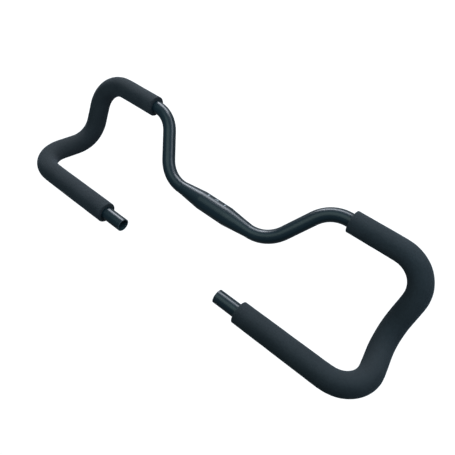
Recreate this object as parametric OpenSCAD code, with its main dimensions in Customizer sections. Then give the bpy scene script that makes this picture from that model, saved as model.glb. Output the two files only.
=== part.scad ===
// Butterfly handlebar for a touring bicycle.
// One aluminium tube is swollen in the middle for the stem and bent into a loop on each side.
// A foam sleeve covers each loop, and the two tail ends stay bare and open.
// The origin is the centre of the stem clamp. +X is the rider's right, +Y points ahead, +Z is up.

/* [Tube] */
// Outer diameter of the tube
tube_d = 22.2; // [19:0.1:25.4]
// Thickness of the tube's wall
tube_wall = 1.6; // [1:0.1:2.6]
// Radius of the deburred rim at the tube's open ends
tube_rim_r = 0.4; // [0.2:0.1:0.8]

/* [Stem clamp] */
// Diameter of the swollen middle that the stem holds
clamp_d = 31.8; // [26:0.1:35]
// Length of the swollen middle between the edges where its two cones start
clamp_len = 54; // [42:1:60]
// Thickness of the wall in the swollen middle
clamp_wall = 2.2; // [1.6:0.1:3]
// Radius of the arcs that ease both ends of the conical taper
taper_r = 25; // [15:1:35]

/* [Corners of the bar] */
// Distance from the middle of the bar out to the first corner
neck_x = 105; // [98:1:112]
// Distance from the middle out to the corner where the front run starts
front_x = 166; // [155:1:178]
// Distance from the middle out to the front outer corner
shoulder_x = 334.5; // [322:0.5:346]
// Distance from the middle out to the lowest corner
dip_x = 320.5; // [308:0.5:332]
// Distance from the middle out to the rear outer corner
rear_x = 343; // [331:0.5:355]
// Distance from the middle of the bar to the open end of the tail
tail_x = 102; // [80:1:120]
// How far the front run stands ahead of the clamp
front_y = 91; // [84:1:98]
// How far the lowest corner lies behind the clamp
dip_y = 10.5; // [4:0.5:17]
// How far the rear run lies behind the clamp
rear_y = 110; // [103:1:117]
// How high the front and rear runs stand above the clamp
run_z = 24; // [12:1:32]
// How far the lowest corner lies below the clamp
dip_z = 39; // [33:1:50]

/* [Bends] */
// Radius of the first bend, measured to the middle of the tube
neck_r = 61; // [52:1:66]
// Radius of the bend into the front run
front_r = 55; // [48:1:62]
// Radius of the front outer bend
shoulder_r = 49; // [42:1:54]
// Radius of the bend at the lowest corner
dip_r = 56; // [48:1:64]
// Radius of the rear outer bend
rear_r = 44; // [38:1:50]

/* [Foam grips] */
// Thickness of the foam
foam_wall = 6.5; // [4:0.1:8]
// Bare tube between the bend into the front run and the foam
foam_start = 4; // [1:0.5:30]
// Bare tube at each tail, for the clamp of a brake lever
bare_tail = 40.5; // [25:0.5:80]
// Radius of the rounded rim at each end of the foam
foam_rim_r = 1.6; // [1:0.1:2.5]
// Gap between the foam's bore and the tube
foam_gap = 0.1; // [0:0.05:0.3]

/* [Hidden] */
$fn = 96;
// How much a bend draws the tube in, which keeps its skin under the straights' skin at each joint
bend_draw = 0.02;
// How far each bend runs on inside the straights on both sides
bend_overlap = 0.2;
// How far a cut runs past the face that it opens
cut_past = 1;
// Straight left between the swollen middle's cone and the first bend
taper_gap = 1.5;
// How far an arc that eases the cone runs past the faces beside it, so that it crosses them
arc_bite = 0.005;

tube_r = tube_d / 2;
bore_r = tube_r - tube_wall;
foam_bore_r = tube_r + foam_gap;
foam_r = foam_bore_r + foam_wall;

// Corners of the bar's centreline on the right side, from the middle of the clamp to the tail end
corners = [
    [0, 0, 0],
    [neck_x, 0, 0],
    [front_x, front_y, run_z],
    [shoulder_x, front_y, run_z],
    [dip_x, -dip_y, -dip_z],
    [rear_x, -rear_y, run_z],
    [tail_x, -rear_y, run_z]
];
// Bend radius at each corner, with none at the two ends
radii = [0, neck_r, front_r, shoulder_r, dip_r, rear_r, 0];

// The foam follows the same corners between its own two ends
foam_front_x = front_x + setback(corners, radii, 2) + foam_start;
foam_rear_x = tail_x + bare_tail;
foam_corners = [
    [foam_front_x, front_y, run_z],
    corners[3],
    corners[4],
    corners[5],
    [foam_rear_x, -rear_y, run_z]
];
foam_radii = [0, shoulder_r, dip_r, rear_r, 0];

function unit(v) = v / norm(v);
// Direction of the leg that leaves corner i
function leg(path, i) = unit(path[i + 1] - path[i]);
// Angle that the path turns through at corner i
function turn(path, i) = acos(leg(path, i - 1) * leg(path, i));
// Distance from corner i to where its bend starts and ends
function setback(path, bends, i) = bends[i] == 0 ? 0 : bends[i] * tan(turn(path, i) / 2);

// The cone ends just before the first bend
taper_end = neck_x - setback(corners, radii, 1) - taper_gap;

// A straight rod from a to b
module rod(a, b, r) {
    way = b - a;
    translate(a)
        rotate([0, acos(way.z / norm(way)), atan2(way.y, way.x)])
            cylinder(h = norm(way), r = r);
}

// The bend at corner i, a part of a torus that reaches a little into both straights
module bend(path, bends, i, r) {
    inward = leg(path, i - 1);
    outward = leg(path, i);
    side = unit(outward - (outward * inward) * inward);
    start = path[i] - setback(path, bends, i) * inward;
    middle = start + bends[i] * side;
    up = cross(-side, inward);
    reach = bend_overlap / bends[i] * 180 / PI;
    multmatrix([
        [-side.x, inward.x, up.x, middle.x],
        [-side.y, inward.y, up.y, middle.y],
        [-side.z, inward.z, up.z, middle.z],
        [0, 0, 0, 1]
    ])
        rotate([0, 0, -reach])
            rotate_extrude(angle = turn(path, i) + 2 * reach)
                translate([bends[i], 0])
                    circle(r = r - bend_draw);
}

// A round rod bent along a path, whose two ends are lengthened by the given amount
module bent_rod(path, bends, r, longer = 0) {
    last = len(path) - 1;
    for (i = [0 : last - 1]) {
        from = setback(path, bends, i) - (i == 0 ? longer : 0);
        to = setback(path, bends, i + 1) - (i == last - 1 ? longer : 0);
        rod(path[i] + from * leg(path, i), path[i + 1] - to * leg(path, i), r);
    }
    for (i = [1 : last - 1])
        bend(path, bends, i, r);
}

// Half of the swollen middle, revolved about X: full radius, then a cone eased by an arc at both ends
module swelling(full_r, end_r) {
    half = clamp_len / 2;
    slope = atan2(full_r - end_r, taper_end - half);
    // How far each arc reaches on both sides of its corner
    ease = taper_r * tan(slope / 2);
    rotate([0, 90, 0])
        rotate_extrude() {
            difference() {
                polygon([[0, 0], [full_r, 0], [full_r, half], [end_r, taper_end], [0, taper_end]]);
                difference() {
                    translate([full_r - ease, half - ease])
                        square(2 * ease);
                    translate([full_r - taper_r + arc_bite, half - ease])
                        circle(r = taper_r);
                }
            }
            difference() {
                translate([end_r - ease, taper_end - ease])
                    square(2 * ease);
                translate([end_r + taper_r - arc_bite, taper_end + ease])
                    circle(r = taper_r);
            }
        }
}

// Ring that rounds the outer edge of a round end that faces the middle of the bar
module rim_cut(x, y, outer_r, rim_r) {
    translate([x, y, run_z])
        rotate([0, 90, 0])
            rotate_extrude()
                difference() {
                    translate([outer_r - rim_r, -cut_past])
                        square(rim_r + cut_past);
                    translate([outer_r - rim_r, rim_r])
                        circle(r = rim_r);
                }
}

// What is given, together with its mirror image on the left side
module both_sides() {
    children();
    mirror([1, 0, 0])
        children();
}

// The right half of the bar, solid, with the given radii and its tail lengthened
module half_bar(full_r, end_r, longer = 0) {
    swelling(full_r, end_r);
    bent_rod(corners, radii, end_r, longer);
}

// Bent aluminium tube: both halves as one solid, less the bore that runs through it
module handlebar_tube() {
    color([0.13, 0.16, 0.18])
        difference() {
            both_sides()
                half_bar(clamp_d / 2, tube_r);
            both_sides()
                half_bar(clamp_d / 2 - clamp_wall, bore_r, cut_past);
            both_sides()
                rim_cut(tail_x, -rear_y, tube_r, tube_rim_r);
        }
}

// Foam sleeve that follows the loop, with a rounded rim at both ends
module foam_grip() {
    color([0.1, 0.12, 0.14])
        difference() {
            bent_rod(foam_corners, foam_radii, foam_r);
            bent_rod(foam_corners, foam_radii, foam_bore_r, cut_past);
            rim_cut(foam_front_x, front_y, foam_r, foam_rim_r);
            rim_cut(foam_rear_x, -rear_y, foam_r, foam_rim_r);
        }
}

module right_foam_grip() {
    foam_grip();
}

module left_foam_grip() {
    mirror([1, 0, 0])
        foam_grip();
}

handlebar_tube();
left_foam_grip();
right_foam_grip();
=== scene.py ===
import math

import bpy
import numpy as np
from mathutils import Matrix, Vector, noise


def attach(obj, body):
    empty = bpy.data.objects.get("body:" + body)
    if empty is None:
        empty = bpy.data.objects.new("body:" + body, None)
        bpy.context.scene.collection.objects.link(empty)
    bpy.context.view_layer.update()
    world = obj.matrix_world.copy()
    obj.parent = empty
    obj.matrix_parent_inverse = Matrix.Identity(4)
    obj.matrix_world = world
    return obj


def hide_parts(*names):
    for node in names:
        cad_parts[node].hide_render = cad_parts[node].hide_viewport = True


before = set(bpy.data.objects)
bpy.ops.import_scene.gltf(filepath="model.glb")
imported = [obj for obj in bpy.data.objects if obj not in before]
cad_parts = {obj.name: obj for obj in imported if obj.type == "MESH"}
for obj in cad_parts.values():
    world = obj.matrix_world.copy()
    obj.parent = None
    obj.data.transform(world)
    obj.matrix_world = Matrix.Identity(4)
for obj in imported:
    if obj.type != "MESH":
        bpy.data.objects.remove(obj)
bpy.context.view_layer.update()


# The bent tube, a single length of aluminium alloy, swollen in the middle for the stem.
# It is bent cold, polished fine and anodised satin black all over, and alignment marks are printed
# on the clamp. The two tail ends are cut off square, deburred and left open.
CLAMP_RADIUS = 0.0159
TAIL_END = 0.102
REAR_RUN_Y = -0.110
RUN_HEIGHT = 0.024
# Nearly all values of a noise lie in this span around 0.5
NOISE_MIDDLE = 0.5
NOISE_SPAN = (0.3, 0.7)
# How many octaves of detail a noise has
SMOOTH = 1.0
FINE = 2.0
FINER = 3.0
RUGGED = 4.0


def group_input(group, name, value):
    """A named input of a node group, a colour if its value has four parts and else a number."""
    kind = "NodeSocketColor" if isinstance(value, tuple) else "NodeSocketFloat"
    socket = group.interface.new_socket(name, in_out="INPUT", socket_type=kind)
    socket.default_value = value


def place(tree, kind, inputs=None, **settings):
    """A new node with its settings and with its input sockets set or linked by name or number."""
    made = tree.nodes.new(kind)
    for name, value in settings.items():
        setattr(made, name, value)
    for name, value in (inputs or {}).items():
        if isinstance(value, bpy.types.NodeSocket):
            tree.links.new(value, made.inputs[name])
        else:
            made.inputs[name].default_value = value
    return made


def calculate(tree, operation, first, second=None, clamp=False):
    """The result of one Math node."""
    values = {n: v for n, v in enumerate((first, second)) if v is not None}
    return place(tree, "ShaderNodeMath", values, operation=operation, use_clamp=clamp).outputs[0]


def noise_field(tree, spot, scale, detail):
    """The value of a noise texture, around 0.5."""
    inputs = {"Vector": spot, "Scale": scale, "Detail": detail}
    return place(tree, "ShaderNodeTexNoise", inputs).outputs["Fac"]


def spread(tree, value, low, high, to_low, to_high):
    """A value stretched from one range to another and held within it."""
    inputs = {"Value": value, "From Min": low, "From Max": high, "To Min": to_low, "To Max": to_high}
    return place(tree, "ShaderNodeMapRange", inputs).outputs["Result"]


def within(tree, value, centre, half_width, edge):
    """A mask that is 1 within half_width of centre and fades to 0 over edge."""
    away = calculate(tree, "ABSOLUTE", calculate(tree, "SUBTRACT", value, centre))
    faded = calculate(tree, "DIVIDE", calculate(tree, "SUBTRACT", away, half_width), edge)
    return calculate(tree, "SUBTRACT", 1.0, faded, clamp=True)


def blend_colour(tree, factor, first, second):
    """A mix of two colours, the second where factor is 1."""
    mix = place(tree, "ShaderNodeMix", data_type="RGBA")
    for socket, value in (("Factor", factor), ("A", first), ("B", second)):
        found = [s for s in mix.inputs if s.name == socket and s.enabled][0]
        if isinstance(value, bpy.types.NodeSocket):
            tree.links.new(value, found)
        else:
            found.default_value = value
    return [s for s in mix.outputs if s.enabled][0]


def make_patchy_colour():
    """Node group: two colours that drift into each other in soft patches, over a fine speckle."""
    group = bpy.data.node_groups.new("Patchy colour", "ShaderNodeTree")
    group_input(group, "Darker", (0.0, 0.0, 0.0, 1.0))
    group_input(group, "Lighter", (0.1, 0.1, 0.1, 1.0))
    group_input(group, "Patch size", 0.04)
    group_input(group, "Speckle size", 0.001)
    group_input(group, "Speckle share", 0.3)
    group.interface.new_socket("Color", in_out="OUTPUT", socket_type="NodeSocketColor")
    group.interface.new_socket("Patches", in_out="OUTPUT", socket_type="NodeSocketFloat")
    given = group.nodes.new("NodeGroupInput").outputs
    result = group.nodes.new("NodeGroupOutput")
    spot = place(group, "ShaderNodeTexCoord").outputs["Object"]
    patches = noise_field(group, spot, calculate(group, "DIVIDE", 1.0, given["Patch size"]), RUGGED)
    patches = spread(group, patches, *NOISE_SPAN, 0.0, 1.0)
    speckle = noise_field(group, spot, calculate(group, "DIVIDE", 1.0, given["Speckle size"]), FINE)
    lifted = calculate(group, "SUBTRACT", speckle, NOISE_MIDDLE)
    lifted = calculate(group, "MULTIPLY", lifted, given["Speckle share"])
    share = calculate(group, "ADD", patches, lifted, clamp=True)
    colour = blend_colour(group, share, given["Darker"], given["Lighter"])
    group.links.new(colour, result.inputs["Color"])
    group.links.new(patches, result.inputs["Patches"])
    return group


def make_fine_grain():
    """Node group: the height of a fine, even grain with softer waves below it."""
    group = bpy.data.node_groups.new("Fine grain", "ShaderNodeTree")
    group_input(group, "Grain size", 0.0005)
    group_input(group, "Wave size", 0.004)
    group_input(group, "Wave share", 0.4)
    group.interface.new_socket("Height", in_out="OUTPUT", socket_type="NodeSocketFloat")
    given = group.nodes.new("NodeGroupInput").outputs
    result = group.nodes.new("NodeGroupOutput")
    spot = place(group, "ShaderNodeTexCoord").outputs["Object"]
    grain = noise_field(group, spot, calculate(group, "DIVIDE", 1.0, given["Grain size"]), FINER)
    waves = noise_field(group, spot, calculate(group, "DIVIDE", 1.0, given["Wave size"]), SMOOTH)
    waves = calculate(group, "MULTIPLY", waves, given["Wave share"])
    group.links.new(calculate(group, "ADD", grain, waves), result.inputs["Height"])
    return group


patchy_colour = make_patchy_colour()
fine_grain = make_fine_grain()

# Three printed marks across the clamp line the bar up with the stem: a plain stroke on each side,
# and a short row of graduations in the middle
MARK_ANGLE = math.radians(40)
MARK_HALF_ARC = 0.0034 / CLAMP_RADIUS
SIDE_MARK_X = 0.017
SIDE_MARK_HALF_WIDTH = 0.0005
SCALE_HALF_LENGTH = 0.0032
SCALE_STEP = 0.0013
SCALE_LINE_HALF_WIDTH = 0.00026
SCALE_HALF_ARC = 0.0014 / CLAMP_RADIUS
INK_EDGE = 0.00008


def clamp_marks(tree, x, y, z):
    """Where the ink lies on the clamp."""
    angle = calculate(tree, "ARCTAN2", z, y)
    edge = INK_EDGE / CLAMP_RADIUS
    side = within(tree, calculate(tree, "ABSOLUTE", x), SIDE_MARK_X, SIDE_MARK_HALF_WIDTH, INK_EDGE)
    side = calculate(tree, "MULTIPLY", side, within(tree, angle, MARK_ANGLE, MARK_HALF_ARC, edge))
    nearest = calculate(tree, "SNAP", calculate(tree, "ADD", x, SCALE_STEP / 2), SCALE_STEP)
    from_line = calculate(tree, "SUBTRACT", x, nearest)
    line = within(tree, from_line, 0.0, SCALE_LINE_HALF_WIDTH, INK_EDGE)
    line = calculate(tree, "MULTIPLY", line, within(tree, x, 0.0, SCALE_HALF_LENGTH, INK_EDGE))
    line = calculate(tree, "MULTIPLY", line, within(tree, angle, MARK_ANGLE, SCALE_HALF_ARC, edge))
    return calculate(tree, "MAXIMUM", side, line)


# Colours of the finish, of the painted highlight on the rims, and how much ink and wear are left from
# spot to spot
DEEP_DYE = (0.0026, 0.0084, 0.0112, 1.0)
PALER_DYE = (0.0046, 0.0120, 0.0155, 1.0)
INK = (0.42, 0.45, 0.46, 1.0)
DULL_BORE = (0.012, 0.027, 0.030, 1.0)
RIM_WEAR_AND_HIGHLIGHT = (0.055, 0.070, 0.074, 1.0)
INK_WEAR_SCALE = 900.0
INK_WEAR_SPAN = (0.3, 0.5)
INK_LEFT = (0.55, 0.95)
RIM_PATCH_SCALE = 260.0
RIM_PATCH_SPAN = (0.35, 0.65)
RIM_COVER = (0.6, 1.0)
BORE_SKIN_RADIUS = 0.0099
DEBURRED = 0.0005

black_anodising = bpy.data.materials.new("black_anodising")
black_anodising.use_nodes = True
tree = black_anodising.node_tree
skin = tree.nodes["Principled BSDF"]
spot = place(tree, "ShaderNodeTexCoord").outputs["Object"]
axes = place(tree, "ShaderNodeSeparateXYZ", {"Vector": spot}).outputs
dye = place(tree, "ShaderNodeGroup", node_tree=patchy_colour)
dye.inputs["Darker"].default_value = DEEP_DYE
dye.inputs["Lighter"].default_value = PALER_DYE
dye.inputs["Patch size"].default_value = 0.05
dye.inputs["Speckle size"].default_value = 0.0008
dye.inputs["Speckle share"].default_value = 0.35
ink_wear = noise_field(tree, spot, INK_WEAR_SCALE, FINE)
ink_wear = spread(tree, ink_wear, *INK_WEAR_SPAN, *INK_LEFT)
ink = calculate(tree, "MULTIPLY", clamp_marks(tree, axes["X"], axes["Y"], axes["Z"]), ink_wear)
# The bore takes less of the dye. The rims of the open ends have lost a little of theirs and are painted
# lighter still, as a painted highlight on the deburred edge
rear = calculate(tree, "LESS_THAN", axes["Y"], REAR_RUN_Y / 2)
axis_spot = place(tree, "ShaderNodeCombineXYZ", {
    "X": calculate(tree, "SUBTRACT", axes["Y"], REAR_RUN_Y),
    "Y": calculate(tree, "SUBTRACT", axes["Z"], RUN_HEIGHT),
}).outputs["Vector"]
off_axis = place(tree, "ShaderNodeVectorMath", {0: axis_spot}, operation="LENGTH").outputs["Value"]
in_bore = calculate(tree, "MULTIPLY", rear, calculate(tree, "LESS_THAN", off_axis, BORE_SKIN_RADIUS))
from_end = calculate(tree, "SUBTRACT", calculate(tree, "ABSOLUTE", axes["X"]), TAIL_END)
rim = calculate(tree, "SUBTRACT", 1.0, calculate(tree, "DIVIDE", from_end, DEBURRED), clamp=True)
rim = calculate(tree, "MULTIPLY", rim, rear)
# Painted highlight and a little wear on the rims, in patches
rim_patches = noise_field(tree, spot, RIM_PATCH_SCALE, FINE)
rim = calculate(tree, "MULTIPLY", rim, spread(tree, rim_patches, *RIM_PATCH_SPAN, *RIM_COVER))
colour = blend_colour(tree, in_bore, dye.outputs["Color"], DULL_BORE)
colour = blend_colour(tree, rim, colour, RIM_WEAR_AND_HIGHLIGHT)
colour = blend_colour(tree, ink, colour, INK)
tree.links.new(colour, skin.inputs["Base Color"])

# The clamp and its cones are blasted a little rougher, so that the stem grips them
POLISH_SCALE = 30.0
POLISHED = (0.310, 0.335)
BLASTED_HALF_LENGTH = 0.050
BLASTED_EDGE = 0.030
BLASTED_ROUGHER = 0.03
INK_ROUGHER = 0.2
BORE_ROUGHER = 0.2
gloss = noise_field(tree, spot, POLISH_SCALE, FINER)
gloss = spread(tree, gloss, *NOISE_SPAN, *POLISHED)
ahead = calculate(tree, "GREATER_THAN", axes["Y"], REAR_RUN_Y / 2)
blasted = within(tree, axes["X"], 0.0, BLASTED_HALF_LENGTH, BLASTED_EDGE)
blasted = calculate(tree, "MULTIPLY", blasted, ahead)
for mask, rougher in ((blasted, BLASTED_ROUGHER), (ink, INK_ROUGHER), (in_bore, BORE_ROUGHER)):
    gloss = calculate(tree, "ADD", gloss, calculate(tree, "MULTIPLY", mask, rougher))
tree.links.new(gloss, skin.inputs["Roughness"])

# The polish leaves a fine grain, and clamps that are slid on leave fine lines along the straight
# tails and along the middle of the bar
LINES_PER_METRE = (40.0, 2600.0, 2600.0)
LINE_SHARE = 0.8
TAIL_LINES_HALF_WIDTH = 0.014
TAIL_LINES_EDGE = 0.004
MIDDLE_LINES_HALF_LENGTH = 0.05
MIDDLE_LINES_EDGE = 0.02
POLISH_DEPTH = 0.000006
grain = place(tree, "ShaderNodeGroup", node_tree=fine_grain)
grain.inputs["Grain size"].default_value = 0.0003
grain.inputs["Wave size"].default_value = 0.012
grain.inputs["Wave share"].default_value = 0.6
drawn_out = {"Vector": spot, "Scale": LINES_PER_METRE}
drawn_out = place(tree, "ShaderNodeMapping", drawn_out, vector_type="POINT").outputs["Vector"]
lines = noise_field(tree, drawn_out, 1.0, FINER)
on_tail = within(tree, axes["Y"], REAR_RUN_Y, TAIL_LINES_HALF_WIDTH, TAIL_LINES_EDGE)
on_middle = within(tree, axes["X"], 0.0, MIDDLE_LINES_HALF_LENGTH, MIDDLE_LINES_EDGE)
lines = calculate(tree, "MULTIPLY", lines, calculate(tree, "MAXIMUM", on_tail, on_middle))
lines = calculate(tree, "MULTIPLY", lines, LINE_SHARE)
bump = place(tree, "ShaderNodeBump", {
    "Strength": 1.0,
    "Distance": POLISH_DEPTH,
    "Height": calculate(tree, "ADD", grain.outputs["Height"], lines),
})
tree.links.new(bump.outputs["Normal"], skin.inputs["Normal"])
skin.inputs["Specular IOR Level"].default_value = 0.5

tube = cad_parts["handlebar_tube"]
tube.data.materials.clear()
tube.data.materials.append(black_anodising)


# The two grip sleeves, thick-walled tubes of soft closed cell foam, black with a blue cast.
# Each is slid over the tube round the whole loop, so it swells a little on the inside of every bend
# and thins on the outside. Both ends are cut square, with the rim softened.
FOAM_RADIUS = 0.0177
FOAM_BORE_RADIUS = 0.0112
RIM_RADIUS = 0.0016
BORE_RIM_RADIUS = 0.0006
GRIP_CORNERS = [
    (0.19989, 0.091, 0.024),
    (0.3345, 0.091, 0.024),
    (0.3205, -0.0105, -0.039),
    (0.343, -0.110, 0.024),
    (0.1425, -0.110, 0.024),
]
GRIP_BENDS = [0.0, 0.049, 0.056, 0.044, 0.0]
TIGHTEST_BEND = 0.044
POINTS_ROUND = 112
OUTER_SPACING = 0.0016
BORE_SPACING = 0.004
RIM_STEPS = 6
FACE_STEPS = 5
SWELL = 0.0005
SWELL_SOFTENING = 0.010
RIPPLE = 0.00014
RIPPLE_LENGTH = 0.017
PITTING = 0.00005
PITTING_LENGTH = 0.0045


def lay_out_line(corners, bends):
    """The straights and bends of a centreline: length, kind, start, direction, inward, radius."""
    stretches = []
    start = Vector(corners[0])
    for i in range(1, len(corners)):
        corner = Vector(corners[i])
        along = (corner - start).normalized()
        onward = (Vector(corners[i + 1]) - corner).normalized() if i + 1 < len(corners) else along
        angle = along.angle(onward, 0.0)
        setback = bends[i] * math.tan(angle / 2)
        bend_start = corner - setback * along
        stretches.append(((bend_start - start).length, "straight", start, along, None, None))
        if angle:
            inward = (onward - onward.dot(along) * along).normalized()
            stretches.append((bends[i] * angle, "bend", bend_start, along, inward, bends[i]))
        start = corner + setback * onward
    return stretches


def place_on_line(stretches, distance):
    """The centre, the direction and the pull towards the inside of the bend at a distance along."""
    for stretch in stretches:
        length, kind, start, along, inward, radius = stretch
        if distance <= length or stretch is stretches[-1]:
            if kind == "straight":
                return start + distance * along, along, Vector((0.0, 0.0, 0.0))
            turned = distance / radius
            out = math.sin(turned) * along - math.cos(turned) * inward
            way = math.cos(turned) * along + math.sin(turned) * inward
            return start + radius * (inward + out), way, -out / radius
        distance -= length


def line_up(stretches, distances):
    """Frames that don't twist at the given distances: centre, direction, side and softened pull."""
    frames = {}
    side = None
    for distance in sorted(set(distances)):
        centre, way, pull = place_on_line(stretches, distance)
        before = place_on_line(stretches, max(distance - SWELL_SOFTENING, 0.0))[2]
        after = place_on_line(stretches, distance + SWELL_SOFTENING)[2]
        if side is None:
            side = way.orthogonal().normalized()
        side = (side - side.dot(way) * way).normalized()
        frames[distance] = (centre, way, side, (2 * pull + before + after) / 4)
    return frames


def end_section():
    """Inset and radius from the outside over the rim and down the cut face into the bore."""
    quarter = [math.pi / 2 * n / RIM_STEPS for n in range(1, RIM_STEPS + 1)]
    face_top = FOAM_RADIUS - RIM_RADIUS
    face_foot = FOAM_BORE_RADIUS + BORE_RIM_RADIUS
    section = []
    for a in quarter:
        section.append((RIM_RADIUS * (1 - math.sin(a)), FOAM_RADIUS - RIM_RADIUS * (1 - math.cos(a))))
    for n in range(1, FACE_STEPS + 1):
        section.append((0.0, face_top + (face_foot - face_top) * n / FACE_STEPS))
    for a in quarter[:-1]:
        section.append((BORE_RIM_RADIUS * (1 - math.cos(a)), face_foot - BORE_RIM_RADIUS * math.sin(a)))
    return section


def make_grip(name, mirror):
    """One foam sleeve as a closed skin: outside, rear rim, bore and front rim."""
    corners = [(mirror * x, y, z) for x, y, z in GRIP_CORNERS]
    stretches = lay_out_line(corners, GRIP_BENDS)
    total = sum(stretch[0] for stretch in stretches)
    outside = np.linspace(RIM_RADIUS, total - RIM_RADIUS, round(total / OUTER_SPACING)).tolist()
    bore = np.linspace(BORE_RIM_RADIUS, total - BORE_RIM_RADIUS, round(total / BORE_SPACING)).tolist()
    end = end_section()
    # Each row is a ring of points: its distance along, its radius and whether it was cut
    rows = [(distance, FOAM_RADIUS, 0.0) for distance in outside]
    rows += [(total - inset, radius, 1.0) for inset, radius in end]
    rows += [(distance, FOAM_BORE_RADIUS, 1.0) for distance in bore[::-1]]
    rows += [(inset, radius, 1.0) for inset, radius in reversed(end)]
    frames = line_up(stretches, [distance for distance, _, _ in rows])
    points = []
    for distance, radius, _ in rows:
        centre, way, side, pull = frames[distance]
        other = way.cross(side)
        freedom = (radius - FOAM_BORE_RADIUS) / (FOAM_RADIUS - FOAM_BORE_RADIUS)
        for n in range(POINTS_ROUND):
            angle = 2 * math.pi * n / POINTS_ROUND
            out = math.cos(angle) * side + math.sin(angle) * other
            even = centre + radius * out
            swell = SWELL * pull.dot(out) * TIGHTEST_BEND
            ripple = RIPPLE * noise.noise(even / RIPPLE_LENGTH)
            pitting = PITTING * noise.noise(even / PITTING_LENGTH)
            points.append(even + freedom * (swell + ripple + pitting) * out)
    quads = []
    for row in range(len(rows)):
        here = row * POINTS_ROUND
        there = (row + 1) % len(rows) * POINTS_ROUND
        for n in range(POINTS_ROUND):
            beside = (n + 1) % POINTS_ROUND
            quads.append((here + n, here + beside, there + beside, there + n))
    mesh = bpy.data.meshes.new(name)
    mesh.from_pydata(points, [], quads)
    mesh.shade_smooth()
    cut = mesh.attributes.new("cut_face", "FLOAT", "POINT")
    cut.data.foreach_set("value", np.repeat([row[2] for row in rows], POINTS_ROUND).astype(np.float32))
    grip = bpy.data.objects.new(name, mesh)
    bpy.context.scene.collection.objects.link(grip)
    return grip


# The foam's skin is full of fine pores, which are more open on the cut faces and in the bore
FOAM_DARK = (0.0140, 0.0165, 0.0178, 1.0)
FOAM_LIGHT = (0.0205, 0.0232, 0.0244, 1.0)
PAINTED_PORE_SHADE = (0.006, 0.008, 0.010, 1.0)
PORES_PER_METRE = 1500.0
PORE_SPAN = (0.1, 0.38)
PORE_SHADE = 0.35
CUT_PORE_SHADE = 0.15
PORE_DEPTH = 0.8
FOAM_ROUGHNESS = (0.78, 0.9)
FOAM_RELIEF = 0.00025
FOAM_RELIEF_STRENGTH = 0.6

black_foam = bpy.data.materials.new("black_foam")
black_foam.use_nodes = True
tree = black_foam.node_tree
skin = tree.nodes["Principled BSDF"]
spot = place(tree, "ShaderNodeTexCoord").outputs["Object"]
cut = place(tree, "ShaderNodeAttribute", attribute_name="cut_face").outputs["Fac"]
tint = place(tree, "ShaderNodeGroup", node_tree=patchy_colour)
tint.inputs["Darker"].default_value = FOAM_DARK
tint.inputs["Lighter"].default_value = FOAM_LIGHT
tint.inputs["Patch size"].default_value = 0.028
tint.inputs["Speckle size"].default_value = 0.0014
tint.inputs["Speckle share"].default_value = 0.9
# The pores are painted darker, as painted shade in their pits, and darker still on the cut faces and in
# the bore
cells = place(tree, "ShaderNodeTexVoronoi", {"Vector": spot, "Scale": PORES_PER_METRE}, feature="F1")
pores = spread(tree, cells.outputs["Distance"], *PORE_SPAN, 1.0, 0.0)
pore_shade = calculate(tree, "ADD", PORE_SHADE, calculate(tree, "MULTIPLY", cut, CUT_PORE_SHADE))
pore_shade = calculate(tree, "MULTIPLY", pores, pore_shade)
colour = blend_colour(tree, pore_shade, tint.outputs["Color"], PAINTED_PORE_SHADE)
tree.links.new(colour, skin.inputs["Base Color"])
dullness = spread(tree, tint.outputs["Patches"], 0.0, 1.0, *FOAM_ROUGHNESS)
tree.links.new(dullness, skin.inputs["Roughness"])
grain = place(tree, "ShaderNodeGroup", node_tree=fine_grain)
grain.inputs["Grain size"].default_value = 0.0006
grain.inputs["Wave size"].default_value = 0.0035
grain.inputs["Wave share"].default_value = 1.2
pitted = calculate(tree, "MULTIPLY", pores, PORE_DEPTH)
bump = place(tree, "ShaderNodeBump", {
    "Strength": FOAM_RELIEF_STRENGTH,
    "Distance": FOAM_RELIEF,
    "Height": calculate(tree, "SUBTRACT", grain.outputs["Height"], pitted),
})
tree.links.new(bump.outputs["Normal"], skin.inputs["Normal"])
skin.inputs["Specular IOR Level"].default_value = 0.2
skin.inputs["Sheen Weight"].default_value = 0.07
skin.inputs["Sheen Roughness"].default_value = 0.45
skin.inputs["Sheen Tint"].default_value = (0.8, 0.9, 1.0, 1.0)

for name, node, mirror in (
    ("right_grip_sleeve", "right_foam_grip", 1),
    ("left_grip_sleeve", "left_foam_grip", -1),
):
    grip = make_grip(name, mirror)
    grip.data.materials.append(black_foam)
    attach(grip, "root")
    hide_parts(node)


# The table and the backdrop, one pale matt surface well below the bar, so that its shadow is soft.
# It looks white to the camera, and the black finish shows only a part of that white.
FLOOR_HEIGHT = -0.45
FLOOR_SIDE = 16.0
FLOOR_PAINT = (0.16, 0.16, 0.16, 1.0)
FLOOR_GLOW = 0.95
GLOSS_SHARE = 0.05
WHITE = (1.0, 1.0, 1.0, 1.0)
ROOM_TINT = (0.40, 0.75, 1.0, 1.0)
ROOM_STRENGTH = 0.19


def seen_directly(tree):
    """How much of the white a ray sees: all from the camera and through glass, a part in a gloss."""
    path = place(tree, "ShaderNodeLightPath").outputs
    direct = calculate(tree, "ADD", path["Is Camera Ray"], path["Is Transmission Ray"], clamp=True)
    gloss = calculate(tree, "MULTIPLY", path["Is Glossy Ray"], GLOSS_SHARE)
    return calculate(tree, "MAXIMUM", direct, gloss)


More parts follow.
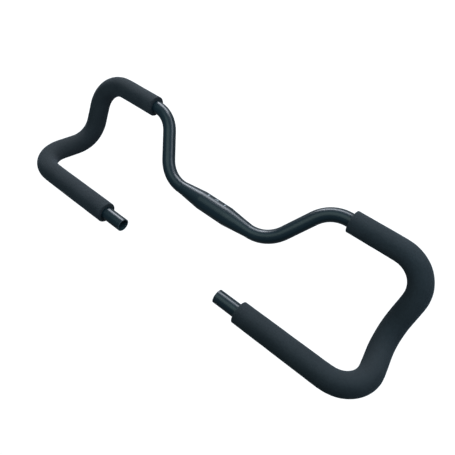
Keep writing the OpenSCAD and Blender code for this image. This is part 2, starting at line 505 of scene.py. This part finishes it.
half = FLOOR_SIDE / 2
floor_corners = [
    (-half, -half, FLOOR_HEIGHT),
    (half, -half, FLOOR_HEIGHT),
    (half, half, FLOOR_HEIGHT),
    (-half, half, FLOOR_HEIGHT),
]
floor_mesh = bpy.data.meshes.new("floor")
floor_mesh.from_pydata(floor_corners, [], [(0, 1, 2, 3)])
floor = bpy.data.objects.new("floor", floor_mesh)
bpy.context.scene.collection.objects.link(floor)
white_floor = bpy.data.materials.new("white_floor")
white_floor.use_nodes = True
tree = white_floor.node_tree
tree.nodes.remove(tree.nodes["Principled BSDF"])
matt_paint = place(tree, "ShaderNodeBsdfDiffuse", {"Color": FLOOR_PAINT})
glow = place(tree, "ShaderNodeEmission", {
    "Color": WHITE,
    "Strength": calculate(tree, "MULTIPLY", seen_directly(tree), FLOOR_GLOW),
})
both = place(tree, "ShaderNodeAddShader", {0: matt_paint.outputs[0], 1: glow.outputs[0]})
tree.links.new(both.outputs[0], tree.nodes["Material Output"].inputs["Surface"])
floor_mesh.materials.append(white_floor)

world = bpy.data.worlds.new("studio")
bpy.context.scene.world = world
world.use_nodes = True
tree = world.node_tree
room = tree.nodes["Background"]
room.inputs["Color"].default_value = ROOM_TINT
room.inputs["Strength"].default_value = ROOM_STRENGTH
white = place(tree, "ShaderNodeBackground", {"Color": WHITE, "Strength": 1.0})
choice = place(tree, "ShaderNodeMixShader", {
    0: seen_directly(tree),
    1: room.outputs[0],
    2: white.outputs[0],
})
tree.links.new(choice.outputs[0], tree.nodes["World Output"].inputs["Surface"])


# The studio lamps: three low softboxes ahead of the bar, which draw the bright line along the tube,
# and a large, weak panel overhead. A small card above each loop lights the foam from the outside on
# the right, and from between the loops on the left, where the gloss doesn't show it.
def hang_lamp(name, place_at, aim_at, size, radiance, tint, in_gloss=True):
    """A rectangular softbox of the given size, whose own X side stays level."""
    lamp = bpy.data.lights.new(name, "AREA")
    lamp.shape = "RECTANGLE"
    lamp.size, lamp.size_y = size
    lamp.energy = radiance * math.pi * size[0] * size[1]
    lamp.color = tint
    holder = bpy.data.objects.new(name, lamp)
    back = (Vector(place_at) - Vector(aim_at)).normalized()
    level = Vector((0.0, 0.0, 1.0)).cross(back)
    level = level.normalized() if level.length > 0.001 else Vector((1.0, 0.0, 0.0))
    turn = Matrix((level, back.cross(level), back)).transposed()
    holder.matrix_world = Matrix.Translation(Vector(place_at)) @ turn.to_4x4()
    holder.visible_camera = False
    holder.visible_glossy = in_gloss
    bpy.context.scene.collection.objects.link(holder)


hang_lamp(
    "key_softbox", place_at=(-1.0, 1.5, 0.56), aim_at=(-1.0, 0.0, 0.0),
    size=(1.7, 0.64), radiance=9.4, tint=(0.86, 0.91, 1.0),
)
hang_lamp(
    "left_softbox", place_at=(-1.5, 1.4, 0.30), aim_at=(-0.3, 0.0, 0.0),
    size=(0.7, 0.36), radiance=11.0, tint=(0.86, 0.91, 1.0),
)
hang_lamp(
    "right_softbox", place_at=(0.75, 1.5, 0.58), aim_at=(0.0, 0.0, 0.0),
    size=(1.3, 0.6), radiance=4.4, tint=(0.82, 0.90, 1.0),
)
hang_lamp(
    "overhead_panel", place_at=(-0.15, -0.09, 1.3), aim_at=(-0.15, -0.09, 0.0),
    size=(1.3, 1.08), radiance=1.10, tint=(0.76, 1.0, 0.92),
)
hang_lamp(
    "right_card", place_at=(0.47, 0.18, 0.40), aim_at=(0.3, 0.0, 0.0),
    size=(0.35, 0.35), radiance=5.2, tint=(0.55, 0.78, 1.0),
)
hang_lamp(
    "left_card", place_at=(-0.08, -0.02, 0.42), aim_at=(-0.33, 0.0, -0.02),
    size=(0.3, 0.3), radiance=4.6, tint=(0.66, 0.78, 1.0), in_gloss=False,
)


# The camera stands above the rear of the bar and looks down on it, turned as in the photograph.
camera = bpy.data.objects.new("camera", bpy.data.cameras.new("camera"))
camera.location = (0.3462, -0.1076, 0.7037)
camera.rotation_euler = [math.radians(turn) for turn in (19.87, 14.69, 38.0)]
camera.data.lens = 38.52
camera.data.sensor_width = 36.0
bpy.context.scene.collection.objects.link(camera)
bpy.context.scene.camera = camera
bpy.context.scene.view_settings.view_transform = "Standard"
